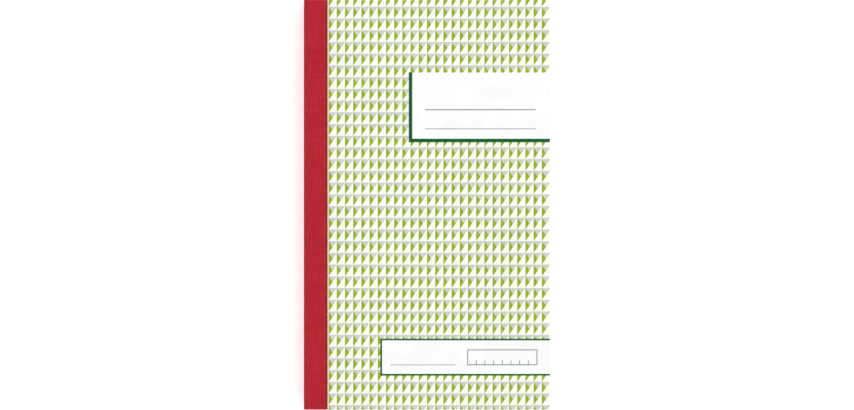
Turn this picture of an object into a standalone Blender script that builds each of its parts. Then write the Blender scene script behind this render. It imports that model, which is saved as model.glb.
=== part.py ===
"""Triplicate order book, 105 x 175 mm: a pad of three-part carbonless sets,
side-stitched with two wire staples between a printed card cover and a grey
board, glued at the spine and finished with a cloth tape.

Frame: the book lies closed on its back board.  Origin under the middle of the
book, +X towards the fore edge, +Y towards the head, +Z out of the front cover.
Lengths below are in millimetres and are turned into metres by MM.
"""

import math

import bmesh
import bpy
from mathutils import Vector

MM = 0.001

# ---------------------------------------------------------------- format
BOOK_W = 105.0  # spine to fore edge
BOOK_H = 175.0  # tail to head
TRIM = 0.15  # the pad is this much inside the covers on its three free sides

# ---------------------------------------------------------------- materials' thickness
COVER_T = 0.40  # printed card
BOARD_T = 0.90  # grey board
CARD_T = 0.40  # loose writing card
TAPE_T = 0.25  # bookcloth with its adhesive
GLUE_T = 0.20  # padding glue on the sheet edges
SHEET_PITCH = 0.075  # one pressed carbonless sheet
LEAF_PITCH = 0.085  # one sheet in the loose sets on top
LEAF_T = 0.060
AIR = 0.03  # between layers that lie on each other

# ---------------------------------------------------------------- the pad
LOOSE_SETS = 5  # sets whose sheets are separate leaves
BLOCKS = 9  # the other 45 sets, in blocks of five
SETS_PER_BLOCK = 5
COPIES = ("white", "yellow", "pink")

# ---------------------------------------------------------------- binding
TAPE_W = 10.0  # cloth on the front and on the back, from the spine
TAPE_R = 0.60  # the cloth's round corner over the spine edges
PERFORATION = 11.0  # perforation line, from the spine
PERFORATION_GAP = 0.30
CREASE_GAP = 0.30  # between a cover's bound strip and its panel
WIRE_D = 0.50
STITCH_X = 5.0  # from the spine
STITCH_Y = 46.0  # each side of the middle
STITCH_SPAN = 12.0  # between the two legs of a staple
STITCH_BEND = 0.50  # centre-line radius of the wire's bends
CLINCH = 4.8  # length of each bent-over leg
LEG_HOLE_D = 1.00
WIRE_SLOT_W = 0.90

# ---------------------------------------------------------------- levels, from the table up
SPINE_X = -BOOK_W / 2
FORE_X = BOOK_W / 2
HALF_H = BOOK_H / 2

BOARD_Z = 0.0
CARD_Z = BOARD_Z + BOARD_T + AIR
PAD_Z = CARD_Z + CARD_T + AIR
BLOCK_PITCH = SETS_PER_BLOCK * len(COPIES) * SHEET_PITCH
LEAVES_Z = PAD_Z + BLOCKS * BLOCK_PITCH
LEAVES = LOOSE_SETS * len(COPIES)
COVER_Z = LEAVES_Z + LEAVES * LEAF_PITCH
TAPE_TOP_Z = COVER_Z + COVER_T + AIR  # under side of the cloth's front wing
BOOK_T = TAPE_TOP_Z + TAPE_T
STRIP_Z = PAD_Z - AIR - BOARD_T  # the board's bound strip is pressed on to the pad
TAPE_LOW_Z = STRIP_Z - AIR - TAPE_T

TAPE_EDGE_X = SPINE_X + TAPE_W
PERF_X = SPINE_X + PERFORATION
STUB_X1 = PERF_X - PERFORATION_GAP / 2
LEAF_X0 = PERF_X + PERFORATION_GAP / 2
PAD_X0 = SPINE_X + TAPE_T + AIR + GLUE_T + AIR
PAD_X1 = FORE_X - TRIM
PAD_HALF_H = HALF_H - TRIM
STRIP_X0 = SPINE_X + TAPE_R
STRIP_X1 = TAPE_EDGE_X - 0.10
PANEL_X0 = STRIP_X1 + CREASE_GAP

# The cover and the leaves turn over the front edge of the cloth, the board
# turns under its back edge.
FRONT_AXIS = Vector((TAPE_EDGE_X + 0.10, 0.0, BOOK_T + 0.06)) * MM
BACK_AXIS = Vector((PANEL_X0 - 0.05, 0.0, BOARD_Z)) * MM
MIDDLE = Vector((0.0, 0.0, 0.0))

# ---------------------------------------------------------------- start clean
for old in list(bpy.data.objects):
    bpy.data.objects.remove(old, do_unlink=True)

scene = bpy.context.scene


# ---------------------------------------------------------------- helpers
def material(name, colour, roughness, metallic=0.0):
    m = bpy.data.materials.new(name)
    m.use_nodes = True
    shader = m.node_tree.nodes["Principled BSDF"]
    shader.inputs["Base Color"].default_value = (*colour, 1.0)
    shader.inputs["Roughness"].default_value = roughness
    shader.inputs["Metallic"].default_value = metallic
    return m


def empty(name, at):
    e = bpy.data.objects.new(name, None)
    e.empty_display_size = 0.01
    e.location = at
    scene.collection.objects.link(e)
    return e


def add_object(name, data, parent, mat):
    o = bpy.data.objects.new(name, data)
    scene.collection.objects.link(o)
    o.parent = parent
    if mat is not None:
        o.data.materials.append(mat)
    return o


def slab(bm, x0, x1, y0, y1, z0, z1, pivot):
    """One rectangular slab, given by its faces in millimetres, around the pivot."""
    made = bmesh.ops.create_cube(bm, size=1.0)["verts"]
    size = Vector((x1 - x0, y1 - y0, z1 - z0)) * MM
    centre = Vector((x0 + x1, y0 + y1, z0 + z1)) * (MM / 2) - pivot
    for v in made:
        v.co = Vector((v.co.x * size.x, v.co.y * size.y, v.co.z * size.z)) + centre


def sheet_piece(name, x0, x1, half_h, z0, z1, parent, pivot, mat):
    bm = bmesh.new()
    slab(bm, x0, x1, -half_h, half_h, z0, z1, pivot)
    mesh = bpy.data.meshes.new(name)
    bm.to_mesh(mesh)
    bm.free()
    return add_object(name, mesh, parent, mat)


def cutter(name, build):
    """A hidden tool for a Boolean cut."""
    bm = bmesh.new()
    build(bm)
    mesh = bpy.data.meshes.new(name)
    bm.to_mesh(mesh)
    bm.free()
    o = add_object(name, mesh, None, None)
    o.hide_render = True
    o.display_type = "WIRE"
    return o


def cut(o, *tools):
    for tool in tools:
        m = o.modifiers.new(tool.name, "BOOLEAN")
        m.operation = "DIFFERENCE"
        m.solver = "EXACT"
        m.object = tool


def leg_places():
    for centre in (STITCH_Y, -STITCH_Y):
        for side in (1, -1):
            yield SPINE_X + STITCH_X, centre + side * STITCH_SPAN / 2


# ---------------------------------------------------------------- materials
RED_CLOTH = material("red_bookcloth", (0.450, 0.023, 0.034), 0.85)
COVER_CARD = material("printed_cover_card", (0.78, 0.82, 0.62), 0.45)
GREY_BOARD = material("grey_board", (0.45, 0.44, 0.41), 0.85)
BUFF_CARD = material("writing_card", (0.62, 0.50, 0.33), 0.75)
WIRE = material("galvanised_wire", (0.62, 0.62, 0.64), 0.35, 1.0)
GLUE = material("padding_glue", (0.80, 0.76, 0.66), 0.40)
STUB_PAPER = material("stub_paper", (0.86, 0.80, 0.72), 0.80)
BLOCK_PAPER = material("pad_paper", (0.87, 0.80, 0.73), 0.80)
COPY_PAPER = {
    "white": material("white_copy_paper", (0.88, 0.88, 0.86), 0.75),
    "yellow": material("yellow_copy_paper", (0.89, 0.75, 0.25), 0.75),
    "pink": material("pink_copy_paper", (0.86, 0.48, 0.52), 0.75),
}

# ---------------------------------------------------------------- joint axes
book = empty("book", MIDDLE)
front_hinge = empty("front_hinge_axis", FRONT_AXIS)
back_hinge = empty("back_hinge_axis", BACK_AXIS)
front_hinge.parent = book
back_hinge.parent = book

# ---------------------------------------------------------------- stitch holes and slots
CROWN_Z = TAPE_TOP_Z - AIR - WIRE_D / 2
CLINCH_Z = STRIP_Z + 0.02 + WIRE_D / 2


def leg_holes(bm):
    for x, y in leg_places():
        made = bmesh.ops.create_cone(
            bm,
            cap_ends=True,
            segments=12,
            radius1=LEG_HOLE_D / 2 * MM,
            radius2=LEG_HOLE_D / 2 * MM,
            depth=2 * BOOK_T * MM,
        )["verts"]
        bmesh.ops.translate(bm, vec=Vector((x, y, BOOK_T / 2)) * MM, verts=made)


def wire_slots(low, high):
    def build(bm):
        x = SPINE_X + STITCH_X
        reach = STITCH_SPAN / 2 + WIRE_D
        for centre in (STITCH_Y, -STITCH_Y):
            slab(
                bm,
                x - WIRE_SLOT_W / 2,
                x + WIRE_SLOT_W / 2,
                centre - reach,
                centre + reach,
                low,
                high,
                MIDDLE,
            )

    return build


hole_tool = cutter("leg_hole_cutter", leg_holes)
crown_tool = cutter(
    "crown_slot_cutter", wire_slots(CROWN_Z - WIRE_D / 2 - 0.06, BOOK_T + 1.0)
)
clinch_tool = cutter("clinch_slot_cutter", wire_slots(-1.0, CLINCH_Z + WIRE_D / 2 + 0.06))

# ---------------------------------------------------------------- front cover
front_strip = sheet_piece(
    "front_cover_binding_strip",
    STRIP_X0,
    STRIP_X1,
    HALF_H,
    COVER_Z,
    COVER_Z + COVER_T,
    book,
    MIDDLE,
    COVER_CARD,
)
cut(front_strip, crown_tool)
sheet_piece(
    "front_cover_panel",
    PANEL_X0,
    FORE_X,
    HALF_H,
    COVER_Z,
    COVER_Z + COVER_T,
    front_hinge,
    FRONT_AXIS,
    COVER_CARD,
)

# ---------------------------------------------------------------- loose sets: leaves and stubs
for number in range(1, LOOSE_SETS + 1):
    for copy, colour in enumerate(COPIES):
        from_top = (number - 1) * len(COPIES) + copy
        z0 = LEAVES_Z + (LEAVES - 1 - from_top) * LEAF_PITCH
        sheet_piece(
            f"set_{number:02d}_{colour}_leaf",
            LEAF_X0,
            PAD_X1,
            PAD_HALF_H,
            z0,
            z0 + LEAF_T,
            front_hinge,
            FRONT_AXIS,
            COPY_PAPER[colour],
        )
    low = LEAVES_Z + (LOOSE_SETS - number) * len(COPIES) * LEAF_PITCH
    high = low + (len(COPIES) - 1) * LEAF_PITCH + LEAF_T
    stub = sheet_piece(
        f"set_{number:02d}_stub",
        PAD_X0,
        STUB_X1,
        PAD_HALF_H,
        low,
        high,
        book,
        MIDDLE,
        STUB_PAPER,
    )
    cut(stub, hole_tool)
    if number == 1:
        cut(stub, crown_tool)

# ---------------------------------------------------------------- the other sets, in blocks
for index in range(BLOCKS):
    first = LOOSE_SETS + 1 + (BLOCKS - 1 - index) * SETS_PER_BLOCK
    low = PAD_Z + index * BLOCK_PITCH
    block = sheet_piece(
        f"sets_{first:02d}_to_{first + SETS_PER_BLOCK - 1:02d}",
        PAD_X0,
        PAD_X1,
        PAD_HALF_H,
        low,
        low + BLOCK_PITCH - AIR,
        book,
        MIDDLE,
        BLOCK_PAPER,
    )
    cut(block, hole_tool)

# ---------------------------------------------------------------- writing card
sheet_piece(
    "writing_card",
    LEAF_X0,
    PAD_X1 - 0.5,
    PAD_HALF_H - 0.5,
    CARD_Z,
    CARD_Z + CARD_T,
    book,
    MIDDLE,
    BUFF_CARD,
)

# ---------------------------------------------------------------- back board
back_strip = sheet_piece(
    "back_cover_binding_strip",
    STRIP_X0,
    STRIP_X1,
    HALF_H,
    STRIP_Z,
    STRIP_Z + BOARD_T,
    book,
    MIDDLE,
    GREY_BOARD,
)
cut(back_strip, hole_tool, clinch_tool)
sheet_piece(
    "back_cover_panel",
    PANEL_X0,
    FORE_X,
    HALF_H,
    BOARD_Z,
    BOARD_Z + BOARD_T,
    back_hinge,
    BACK_AXIS,
    GREY_BOARD,
)

# ---------------------------------------------------------------- spine glue
sheet_piece(
    "spine_glue_film",
    SPINE_X + TAPE_T + AIR,
    SPINE_X + TAPE_T + AIR + GLUE_T,
    PAD_HALF_H,
    PAD_Z,
    COVER_Z - AIR,
    book,
    MIDDLE,
    GLUE,
)


# ---------------------------------------------------------------- wire stitches
def bend(corner, before, after, radius, steps=4):
    """Centre-line points of a round bend at a right-angled corner; before and
    after point from the corner back along the wire and on along it."""
    centre = corner + (before + after) * radius
    for i in range(steps + 1):
        a = math.radians(90.0 * i / steps)
        yield centre - after * radius * math.cos(a) - before * radius * math.sin(a)


def stitch(name, y):
    """Clinched leg, leg, crown, leg, clinched leg, as one length of wire."""
    x = SPINE_X + STITCH_X
    half = STITCH_SPAN / 2
    along, up = Vector((0, 1, 0)), Vector((0, 0, 1))
    near, far = y + half, y - half
    points = [Vector((x, near - CLINCH, CLINCH_Z))]
    points += bend(Vector((x, near, CLINCH_Z)), -along, up, STITCH_BEND)
    points += bend(Vector((x, near, CROWN_Z)), -up, -along, STITCH_BEND)
    points += bend(Vector((x, far, CROWN_Z)), along, -up, STITCH_BEND)
    points += bend(Vector((x, far, CLINCH_Z)), up, along, STITCH_BEND)
    points.append(Vector((x, far + CLINCH, CLINCH_Z)))

    curve = bpy.data.curves.new(name, "CURVE")
    curve.dimensions = "3D"
    curve.bevel_depth = WIRE_D / 2 * MM
    curve.bevel_resolution = 2
    curve.use_fill_caps = True
    spline = curve.splines.new("POLY")
    spline.points.add(len(points) - 1)
    for p, at in zip(spline.points, points):
        p.co = (*(at * MM), 1.0)
    return add_object(name, curve, book, WIRE)


stitch("head_staple", STITCH_Y)
stitch("tail_staple", -STITCH_Y)


# ---------------------------------------------------------------- spine tape
def tape_outline(inset):
    """One side of the cloth's section, from the front wing round the spine to
    the back wing; inset 0 is its outer face."""
    r = TAPE_R - inset
    left, top, low = SPINE_X + inset, BOOK_T - inset, TAPE_LOW_Z + inset
    points = [(TAPE_EDGE_X, top)]
    for i in range(5):
        a = math.radians(90 + 90 * i / 4)
        points.append((left + r + r * math.cos(a), top - r + r * math.sin(a)))
    for i in range(5):
        a = math.radians(180 + 90 * i / 4)
        points.append((left + r + r * math.cos(a), low + r + r * math.sin(a)))
    points.append((TAPE_EDGE_X, low))
    return points


bm = bmesh.new()
section = tape_outline(0.0) + tape_outline(TAPE_T)[::-1]
face = bm.faces.new([bm.verts.new(Vector((x, -HALF_H, z)) * MM) for x, z in section])
swept = bmesh.ops.extrude_face_region(bm, geom=[face])["geom"]
bmesh.ops.translate(
    bm,
    vec=(0.0, BOOK_H * MM, 0.0),
    verts=[g for g in swept if isinstance(g, bmesh.types.BMVert)],
)
bmesh.ops.recalc_face_normals(bm, faces=bm.faces)
mesh = bpy.data.meshes.new("spine_tape")
bm.to_mesh(mesh)
bm.free()
mesh.shade_smooth()
mesh.set_sharp_from_angle(angle=math.radians(40))
add_object("spine_tape", mesh, book, RED_CLOTH)

bpy.context.view_layer.update()
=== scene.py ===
"""Looks of the triplicate order book: printed card cover, red bookcloth spine,
three colours of carbonless sheets with a perforation and a plain ruled form,
grey board and writing card, on a pale floor under soft studio light.

Sizes below are millimetres in the part's own frame, unless they end in _M.
"""

import math
import random

import bmesh
import bpy
import numpy as np
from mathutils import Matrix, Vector


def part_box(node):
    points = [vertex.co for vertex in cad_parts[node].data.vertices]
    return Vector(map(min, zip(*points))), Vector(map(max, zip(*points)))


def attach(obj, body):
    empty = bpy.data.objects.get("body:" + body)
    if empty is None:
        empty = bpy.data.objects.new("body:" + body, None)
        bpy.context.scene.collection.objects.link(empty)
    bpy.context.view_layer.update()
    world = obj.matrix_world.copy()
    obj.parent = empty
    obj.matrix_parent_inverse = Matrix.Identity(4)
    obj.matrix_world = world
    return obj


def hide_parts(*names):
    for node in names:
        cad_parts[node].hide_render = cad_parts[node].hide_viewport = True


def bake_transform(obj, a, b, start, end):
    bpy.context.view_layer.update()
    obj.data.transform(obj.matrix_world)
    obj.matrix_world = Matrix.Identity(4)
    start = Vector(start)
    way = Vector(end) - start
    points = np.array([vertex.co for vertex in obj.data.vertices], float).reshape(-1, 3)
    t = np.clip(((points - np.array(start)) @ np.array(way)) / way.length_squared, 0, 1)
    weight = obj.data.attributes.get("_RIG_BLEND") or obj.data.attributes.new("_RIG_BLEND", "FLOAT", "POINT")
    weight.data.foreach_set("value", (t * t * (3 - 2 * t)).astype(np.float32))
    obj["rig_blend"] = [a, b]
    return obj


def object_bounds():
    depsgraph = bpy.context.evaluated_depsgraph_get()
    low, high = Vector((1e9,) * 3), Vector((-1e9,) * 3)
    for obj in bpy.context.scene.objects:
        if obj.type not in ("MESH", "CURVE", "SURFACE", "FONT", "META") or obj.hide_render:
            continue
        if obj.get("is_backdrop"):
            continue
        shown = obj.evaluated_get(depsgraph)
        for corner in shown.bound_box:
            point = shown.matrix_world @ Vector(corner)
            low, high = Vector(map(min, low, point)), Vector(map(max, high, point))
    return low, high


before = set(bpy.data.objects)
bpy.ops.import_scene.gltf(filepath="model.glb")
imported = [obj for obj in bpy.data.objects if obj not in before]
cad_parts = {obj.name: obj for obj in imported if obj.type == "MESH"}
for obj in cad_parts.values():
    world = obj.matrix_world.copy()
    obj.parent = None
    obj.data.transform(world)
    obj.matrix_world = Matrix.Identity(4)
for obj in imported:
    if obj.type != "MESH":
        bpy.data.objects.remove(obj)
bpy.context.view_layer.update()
rng = random.Random(2191)
scene = bpy.context.scene
MM = 0.001

# ------------------------------------------------------------------ layout
BOOK_W, BOOK_H = 105.0, 175.0
SPINE_X, FORE_X, HALF_H = -52.5, 52.5, 87.5
TAPE_EDGE_X = -42.38
PERF_X = -41.5
STITCH_X, STITCH_Y, STITCH_SPAN = -47.5, 46.0, 12.0


def box_mm(node):
    low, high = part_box(node)
    return np.array(low) / MM, np.array(high) / MM


# ------------------------------------------------------------------ small tools
def lin(r, g, b):
    """An 8-bit display colour as scene-linear."""
    out = []
    for c in (r, g, b):
        c /= 255.0
        out.append(c / 12.92 if c <= 0.04045 else ((c + 0.055) / 1.055) ** 2.4)
    return tuple(out)


class Net:
    """A material's node tree, with short calls for the nodes used here."""

    def __init__(self, name):
        self.material = bpy.data.materials.new(name)
        self.material.use_nodes = True
        self.tree = self.material.node_tree
        self.bsdf = self.tree.nodes["Principled BSDF"]
        self.column = 0

    def node(self, kind, **props):
        n = self.tree.nodes.new(kind)
        self.column += 1
        n.location = (-220 * (1 + self.column % 12), -160 * (self.column // 12))
        for key, value in props.items():
            setattr(n, key, value)
        return n

    def put(self, socket, value):
        if isinstance(value, bpy.types.NodeSocket):
            self.tree.links.new(value, socket)
        elif isinstance(value, (tuple, list)) and len(value) == 3 and socket.type == "RGBA":
            socket.default_value = (*value, 1.0)
        else:
            socket.default_value = value

    def set(self, name, value):
        self.put(self.bsdf.inputs[name], value)

    def math(self, op, *args, clamp=False):
        n = self.node("ShaderNodeMath", operation=op, use_clamp=clamp)
        for socket, value in zip(n.inputs, args):
            self.put(socket, value)
        return n.outputs[0]

    def mix(self, factor, a, b, blend="MIX"):
        n = self.node("ShaderNodeMix", data_type="RGBA", blend_type=blend)
        self.put(n.inputs[0], factor)
        self.put(n.inputs[6], a)
        self.put(n.inputs[7], b)
        return n.outputs[2]

    def span(self, value, a, b, c=0.0, d=1.0, smooth=False):
        n = self.node("ShaderNodeMapRange", clamp=True)
        if smooth:
            n.interpolation_type = "SMOOTHSTEP"
        for socket, v in zip(n.inputs, (value, a, b, c, d)):
            self.put(socket, v)
        return n.outputs[0]

    def noise(self, vector, scale, detail=2.0, rough=0.5):
        n = self.node("ShaderNodeTexNoise")
        self.put(n.inputs["Vector"], vector)
        self.put(n.inputs["Scale"], scale)
        self.put(n.inputs["Detail"], detail)
        self.put(n.inputs["Roughness"], rough)
        return n.outputs["Fac"]

    def speckle(self, vector, scale, size):
        """1 in sparse round flecks of that share of a cell, else 0."""
        n = self.node("ShaderNodeTexVoronoi", feature="F1")
        self.put(n.inputs["Vector"], vector)
        self.put(n.inputs["Scale"], scale)
        return self.math("LESS_THAN", n.outputs["Distance"], size)

    def attribute(self, name):
        return self.node("ShaderNodeAttribute", attribute_name=name).outputs["Vector"]

    def place(self):
        """Rest coordinates in millimetres of a piece that stays rigid."""
        n = self.node("ShaderNodeVectorMath", operation="SCALE")
        n.inputs["Scale"].default_value = 1000.0
        self.tree.links.new(
            self.node("ShaderNodeTexCoord").outputs["Object"], n.inputs[0]
        )
        return n.outputs[0]

    def xyz(self, vector):
        n = self.node("ShaderNodeSeparateXYZ")
        self.put(n.inputs[0], vector)
        return n.outputs

    def join(self, x, y, z):
        n = self.node("ShaderNodeCombineXYZ")
        for socket, value in zip(n.inputs, (x, y, z)):
            self.put(socket, value)
        return n.outputs[0]

    def stretch(self, vector, by):
        n = self.node("ShaderNodeVectorMath", operation="MULTIPLY")
        self.put(n.inputs[0], vector)
        n.inputs[1].default_value = by
        return n.outputs[0]

    def bump(self, height, distance_m, strength=1.0, normal=None):
        n = self.node("ShaderNodeBump")
        n.inputs["Strength"].default_value = strength
        n.inputs["Distance"].default_value = distance_m
        self.put(n.inputs["Height"], height)
        if normal is not None:
            self.put(n.inputs["Normal"], normal)
        return n.outputs[0]

    def within(self, value, low, high):
        return self.math("COMPARE", value, (low + high) / 2, (high - low) / 2)

    def rect(self, x, y, x0, x1, y0, y1):
        return self.math(
            "MULTIPLY", self.within(x, x0, x1), self.within(y, y0, y1)
        )

    def frame_of(self, x, y, x0, x1, y0, y1, line):
        """The outline of a rectangle, drawn inwards."""
        inner = self.rect(x, y, x0 + line, x1 - line, y0 + line, y1 - line)
        return self.math(
            "SUBTRACT", self.rect(x, y, x0, x1, y0, y1), inner, clamp=True
        )

    def any_of(self, *masks):
        out = masks[0]
        for m in masks[1:]:
            out = self.math("MAXIMUM", out, m)
        return out


# ------------------------------------------------------------------ materials
WHITE_CARD = (0.885, 0.885, 0.875)
LEAF_GREEN = lin(142, 169, 8)
PALE_GREY = lin(196, 199, 189)
PALE_TINT = (0.879, 0.891, 0.798)  # the lit facets carry a trace of the green's tint
DEEP_GREEN = lin(0, 91, 45)
PRINT_AT = (0.04, 0.23)  # how the print lies on the trimmed card


def cover_print():
    """Coated card with the printed repeat of small shaded pyramids, a title
    panel with a heavy corner rule, and a lined panel near the tail."""
    n = Net("cover_print")
    flat = n.attribute("flat")
    x, y, _ = n.xyz(flat)
    bx = n.math("ADD", x, BOOK_W / 2 - PRINT_AT[0])  # from the spine
    by = n.math("SUBTRACT", BOOK_H / 2 - PRINT_AT[1], y)  # from the head

    u = n.math("FRACT", n.math("DIVIDE", bx, 3.5))
    v = n.math("FRACT", n.math("DIVIDE", n.math("SUBTRACT", by, 2.86), 5.0))
    left_of = n.math("SUBTRACT", 0.5, u)
    above = n.math("SUBTRACT", 0.5, v)
    green = n.math("GREATER_THAN", left_of, n.math("ABSOLUTE", above))
    grey = n.math("GREATER_THAN", above, n.math("ABSOLUTE", left_of))

    title = n.rect(bx, by, 44.82, 110.0, 30.93, 60.62)
    foot = n.rect(bx, by, 32.75, 110.0, 144.62, 160.14)
    bare = n.any_of(title, foot)
    printed = n.math("SUBTRACT", 1.0, bare)

    rules = n.any_of(
        n.rect(bx, by, 44.70, 46.22, 30.78, 60.65),
        n.rect(bx, by, 44.70, 110.0, 59.15, 60.65),
        n.rect(bx, by, 32.57, 33.34, 144.48, 160.26),
        n.rect(bx, by, 32.57, 110.0, 144.48, 145.20),
        n.rect(bx, by, 32.57, 110.0, 159.50, 160.26),
        # lines to write a title on
        n.rect(bx, by, 51.7, 98.9, 46.60, 46.95),
        n.rect(bx, by, 51.7, 98.9, 54.80, 55.05),
        # a line for a name, and an empty field with ticks for a number
        n.rect(bx, by, 36.9, 64.6, 155.55, 155.80),
        n.frame_of(bx, by, 69.7, 99.6, 149.1, 155.8, 0.34),
        n.math(
            "MULTIPLY",
            n.math("LESS_THAN", n.math("MODULO", n.math("SUBTRACT", bx, 69.7), 3.7), 0.28),
            n.rect(bx, by, 72.0, 97.0, 153.7, 155.8),
        ),
    )

    # ink lies a little unevenly, and the card has a faint cloudy formation
    cloud = n.noise(flat, 0.09, 3.0, 0.6)
    grain = n.noise(flat, 4.5, 2.0, 0.6)
    density = n.math(
        "ADD",
        n.span(cloud, 0.3, 0.7, -0.035, 0.035),
        n.span(grain, 0.3, 0.7, -0.03, 0.03),
    )
    paper = n.mix(n.span(cloud, 0.35, 0.7), WHITE_CARD, (0.875, 0.877, 0.872))
    ink = n.mix(printed, paper, PALE_TINT)
    ink = n.mix(n.math("MULTIPLY", grey, printed), ink, PALE_GREY)
    ink = n.mix(n.math("MULTIPLY", green, printed), ink, LEAF_GREEN)
    ink = n.mix(rules, ink, DEEP_GREEN)
    tone = n.node("ShaderNodeHueSaturation")
    n.put(tone.inputs["Color"], ink)
    n.put(tone.inputs["Value"], n.math("ADD", 1.0, density))

    # the cut edge and the corners lose a little ink to handling
    edge = n.math("SUBTRACT", BOOK_W, bx)
    edge = n.math("MINIMUM", edge, by)
    edge = n.math("MINIMUM", edge, n.math("SUBTRACT", BOOK_H, by))
    rub = n.noise(flat, 1.6, 4.0, 0.7)
    worn = n.math(
        "GREATER_THAN",
        n.math("SUBTRACT", n.span(rub, 0.35, 0.75), n.span(edge, 0.0, 0.45)),
        0.42,
    )
    n.set("Base Color", n.mix(worn, tone.outputs[0], (0.83, 0.83, 0.81)))
    inked = n.math("MAXIMUM", n.math("MULTIPLY", green, printed), rules)
    rough = n.math("SUBTRACT", n.span(grain, 0.25, 0.75, 0.27, 0.33), n.math("MULTIPLY", inked, 0.03))
    n.set("Roughness", rough)
    n.set("Specular IOR Level", 0.25)
    swell = n.bump(n.noise(flat, 0.05, 2.0, 0.5), 0.00012, 0.35)
    n.set("Normal", n.bump(grain, 0.000006, 0.5, swell))
    return n.material


def plain_card(name, tint, fleck, scale=1.0, rough=(0.78, 0.9), rigid=False, specks=0.10):
    """Uncoated board: faint cloudy formation, light and dark short fibres lying
    every way and a few dark flecks."""
    n = Net(name)
    flat = n.place() if rigid else n.attribute("flat")
    x, y, z = n.xyz(flat)
    slant = n.join(n.math("ADD", x, n.math("MULTIPLY", y, 0.8)), n.math("SUBTRACT", y, n.math("MULTIPLY", x, 0.8)), z)
    cloud = n.noise(flat, 0.30 * scale, 5.0, 0.65)
    fibre = n.noise(n.stretch(flat, (1.0, 0.20, 1.0)), 3.4 * scale, 3.0, 0.65)
    cross = n.noise(n.stretch(slant, (0.18, 0.9, 1.0)), 2.6 * scale, 3.0, 0.65)
    strands = n.math("MAXIMUM", fibre, cross)
    sunk = n.noise(n.stretch(slant, (1.0, 0.16, 1.0)), 2.1 * scale, 2.0, 0.6)
    dark = tuple(c * 0.89 for c in tint)
    light = tuple(min(1.0, c * 1.05) for c in tint)
    base = n.mix(n.span(cloud, 0.3, 0.7), dark, light)
    base = n.mix(n.span(strands, 0.58, 0.76, 0.0, 0.65), base, tuple(min(1.0, c * 1.12) for c in tint))
    base = n.mix(n.span(sunk, 0.60, 0.74, 0.0, 0.55), base, tuple(c * 0.74 for c in tint))
    spots = n.speckle(n.stretch(flat, (1.0, 0.45, 1.0)), 0.9 * scale, specks)
    spots = n.math("MULTIPLY", spots, n.span(n.noise(flat, 0.7 * scale), 0.45, 0.6))
    n.set("Base Color", n.mix(n.math("MULTIPLY", spots, 0.75), base, fleck))
    n.set("Roughness", n.span(strands, 0.4, 0.8, *rough))
    n.set("Specular IOR Level", 0.25)
    n.set("Normal", n.bump(strands, 0.00003, 0.55))
    return n.material


def cut_edge(name, tint, dark, layer=9.0):
    """The guillotined edge of board or paper: fine layers and torn fibres."""
    n = Net(name)
    flat = n.attribute("flat")
    layers = n.noise(n.stretch(flat, (0.35, 0.35, layer)), 2.2, 3.0, 0.6)
    drag = n.noise(n.stretch(flat, (2.2, 2.2, 0.4)), 2.5, 2.0, 0.6)
    base = n.mix(n.span(layers, 0.35, 0.68), dark, tint)
    n.set("Base Color", n.mix(n.span(drag, 0.6, 0.8, 0.0, 0.4), base, dark))
    n.set("Roughness", n.span(drag, 0.3, 0.7, 0.8, 0.95))
    n.set("Specular IOR Level", 0.2)
    n.set("Normal", n.bump(n.math("ADD", layers, drag), 0.00002, 0.6))
    return n.material


def form_sheet(name, paper, ink, tint):
    """Carbonless paper with a plain ruled order form: address frame, two
    small frames, write-in lines, a table with a tinted head, and a sum frame."""
    n = Net(name)
    flat = n.attribute("flat")
    x, y, _ = n.xyz(flat)
    fx = n.math("SUBTRACT", x, PERF_X)
    fy = n.math("SUBTRACT", HALF_H - 0.15, y)

    table = n.rect(fx, fy, 6.0, 88.0, 63.0, 147.0)
    rows = n.math(
        "LESS_THAN", n.math("MODULO", n.math("SUBTRACT", fy, 63.0), 7.0), 0.2
    )
    columns = n.any_of(
        n.within(fx, 17.9, 18.1),
        n.within(fx, 55.9, 56.1),
        n.within(fx, 71.9, 72.1),
    )
    lines = n.any_of(
        n.frame_of(fx, fy, 6.0, 46.0, 8.0, 32.0, 0.25),
        n.frame_of(fx, fy, 58.0, 88.0, 8.0, 17.0, 0.25),
        n.frame_of(fx, fy, 58.0, 88.0, 19.5, 28.5, 0.25),
        n.rect(fx, fy, 6.0, 88.0, 41.0, 41.2),
        n.rect(fx, fy, 6.0, 88.0, 48.5, 48.7),
        n.rect(fx, fy, 6.0, 88.0, 56.0, 56.2),
        n.frame_of(fx, fy, 6.0, 88.0, 63.0, 147.0, 0.32),
        n.math("MULTIPLY", table, n.math("MAXIMUM", rows, columns)),
        n.frame_of(fx, fy, 56.0, 88.0, 146.68, 155.5, 0.32),
        n.rect(fx, fy, 71.9, 72.1, 147.0, 155.5),
        n.rect(fx, fy, 6.0, 46.0, 165.0, 165.2),
    )
    shade = n.any_of(
        n.rect(fx, fy, 6.0, 88.0, 63.0, 70.0),
        n.rect(fx, fy, 56.0, 72.0, 147.0, 155.5),
        n.rect(fx, fy, 58.0, 66.0, 8.0, 17.0),
        n.rect(fx, fy, 58.0, 66.0, 19.5, 28.5),
    )
    cloud = n.noise(flat, 0.22, 4.0, 0.6)
    fibre = n.noise(n.stretch(flat, (1.0, 0.3, 1.0)), 5.0, 3.0, 0.6)
    low = tuple(c * 0.955 for c in paper)
    base = n.mix(n.span(cloud, 0.32, 0.68), low, paper)
    base = n.mix(n.math("MULTIPLY", shade, 0.85), base, tint)
    base = n.mix(n.math("MULTIPLY", lines, n.span(fibre, 0.2, 0.5, 0.75, 0.95)), base, ink)
    n.set("Base Color", base)
    n.set("Roughness", n.span(fibre, 0.3, 0.7, 0.74, 0.86))
    n.set("Specular IOR Level", 0.28)
    return n.material


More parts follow.
